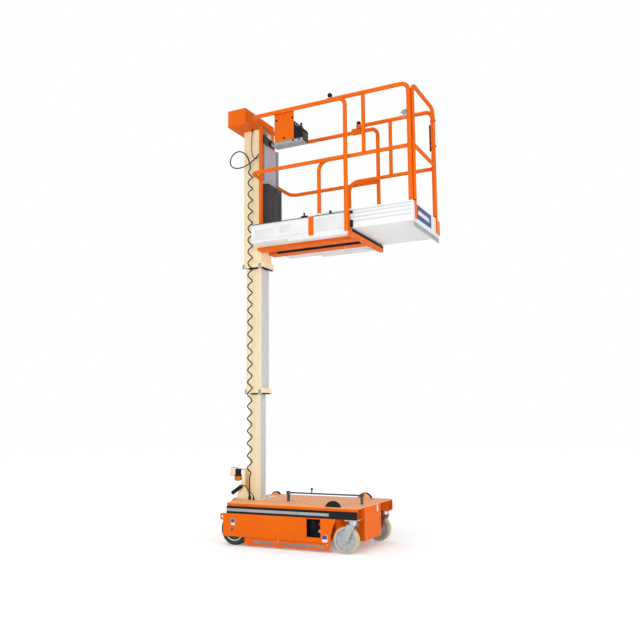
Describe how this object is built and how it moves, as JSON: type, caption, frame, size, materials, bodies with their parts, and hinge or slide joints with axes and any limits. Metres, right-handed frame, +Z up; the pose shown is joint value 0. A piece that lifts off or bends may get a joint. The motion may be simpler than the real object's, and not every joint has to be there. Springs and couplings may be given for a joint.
{
  "type": "vertical mast lift",
  "caption": "Small self-propelled vertical mast lift, raised, with a telescoping mast at one end, a railed platform and a roll-out extension deck",
  "frame": {"origin": "on the floor under the middle of the whole machine's bounding box", "axes": "+Z up, +X from the mast end to the extension end, +Y across the machine"},
  "size_m": [1.834, 0.75, 3.743],
  "materials": {
    "orange_paint": "semi-gloss orange paint on steel",
    "cream_paint": "semi-gloss cream paint on steel",
    "mast_alloy": "cream-coated extrusion with bare front",
    "tread_plate": "chequered aluminium plate",
    "bare_alloy": "mill-finish aluminium",
    "zinc_steel": "bright zinc-plated steel",
    "black_rubber": "matt black rubber",
    "black_plastic": "matt black moulded plastic",
    "wear_pad": "black sliding plastic",
    "tyre_green": "dark solid rubber tyre",
    "rim_white": "pale painted pressed steel",
    "castor_tread": "cream polyurethane",
    "cast_grey": "grey cast hub",
    "battery_block": "plain dark block with the mass of batteries and pump",
    "amber_lens": "clear amber moulding",
    "cord_black": "black cable sheath",
    "grey_steel": "grey painted sheet"
  },
  "bodies": {
    "base": {"chassis_side_near": "orange_paint", "chassis_side_far": "orange_paint", "recess_pan": "black_plastic", "chassis_tub": "orange_paint", "deck_plate": "orange_paint", "deck_covers": "tread_plate", "bumper_rubber": "black_rubber", "bumper_band": "bare_alloy", "pothole_guard_near": "orange_paint", "pothole_guard_far": "orange_paint", "step_pads": "black_rubber", "release_rod": "zinc_steel", "drive_axle": "cast_grey", "power_pack": "battery_block", "castor_plates": "zinc_steel", "mast_lower": "mast_alloy", "mast_foot": "cream_paint", "beacon_body": "black_plastic", "beacon_dome": "amber_lens", "cord_fittings": "black_plastic", "cord_lower": "cord_black", "curly_cord": "cord_black", "charge_lead": "cord_black"},
    "drive_near": {"drive_tyre_near": "tyre_green", "drive_rim_near": "rim_white"},
    "drive_far": {"drive_tyre_far": "tyre_green", "drive_rim_far": "rim_white"},
    "castor_near": {"castor_fork_near": "zinc_steel"},
    "castor_wheel_near": {"castor_tread_near": "castor_tread", "castor_hub_near": "cast_grey"},
    "castor_far": {"castor_fork_far": "zinc_steel"},
    "castor_wheel_far": {"castor_tread_far": "castor_tread", "castor_hub_far": "cast_grey"},
    "middle": {"mast_middle": "mast_alloy", "middle_collar": "cream_paint", "middle_pads": "wear_pad"},
    "platform": {"mast_upper": "mast_alloy", "upper_collar": "cream_paint", "upper_pads": "wear_pad", "mast_head": "orange_paint", "platform_deck": "tread_plate", "under_frame": "orange_paint", "mast_bracket": "orange_paint", "platform_rails": "orange_paint", "back_plate": "grey_steel", "document_box": "black_plastic", "control_plate": "orange_paint", "control_box": "black_plastic", "control_tray": "grey_steel", "rail_caps": "black_plastic", "cord_upper": "cord_black", "head_lead": "cord_black"},
    "extension": {"extension_deck": "tread_plate", "extension_slides": "wear_pad", "extension_rails": "orange_paint", "gate_stubs": "orange_paint", "gate_latch": "black_plastic"},
    "gate": {"gate": "orange_paint"}
  },
  "joints": [
    {"name": "drive_near_spin", "type": "hinge", "parent": "base", "child": "drive_near", "pos_m": [-0.6905, -0.312, 0.127], "axis": [0, 1, 0], "continuous": true},
    {"name": "drive_far_spin", "type": "hinge", "parent": "base", "child": "drive_far", "pos_m": [-0.6905, 0.312, 0.127], "axis": [0, 1, 0], "continuous": true},
    {"name": "castor_near_swivel", "type": "hinge", "parent": "base", "child": "castor_near", "pos_m": [0.3585, -0.331, 0.222], "axis": [0, 0, 1], "continuous": true},
    {"name": "castor_near_spin", "type": "hinge", "parent": "castor_near", "child": "castor_wheel_near", "pos_m": [0.3085, -0.331, 0.102], "axis": [0, 1, 0], "continuous": true},
    {"name": "castor_far_swivel", "type": "hinge", "parent": "base", "child": "castor_far", "pos_m": [0.3585, 0.331, 0.222], "axis": [0, 0, 1], "continuous": true},
    {"name": "castor_far_spin", "type": "hinge", "parent": "castor_far", "child": "castor_wheel_far", "pos_m": [0.3085, 0.331, 0.102], "axis": [0, 1, 0], "continuous": true},
    {"name": "middle_slide", "type": "slide", "parent": "base", "child": "middle", "axis": [0, 0, 1], "range_m": [-0.86, 0], "deforming": ["curly_cord"]},
    {"name": "upper_slide", "type": "slide", "parent": "middle", "child": "platform", "axis": [0, 0, 1], "range_m": [-0.86, 0]},
    {"name": "extension_slide", "type": "slide", "parent": "platform", "child": "extension", "axis": [1, 0, 0], "range_m": [-0.46, 0]},
    {"name": "gate_hinge", "type": "hinge", "parent": "extension", "child": "gate", "pos_m": [0.8905, 0.267, 3], "axis": [0, 0, -1], "range_deg": [0, 90]}
  ],
  "couplings": [
    {"joint": "upper_slide", "follows": "middle_slide", "ratio": 1}
  ]
}
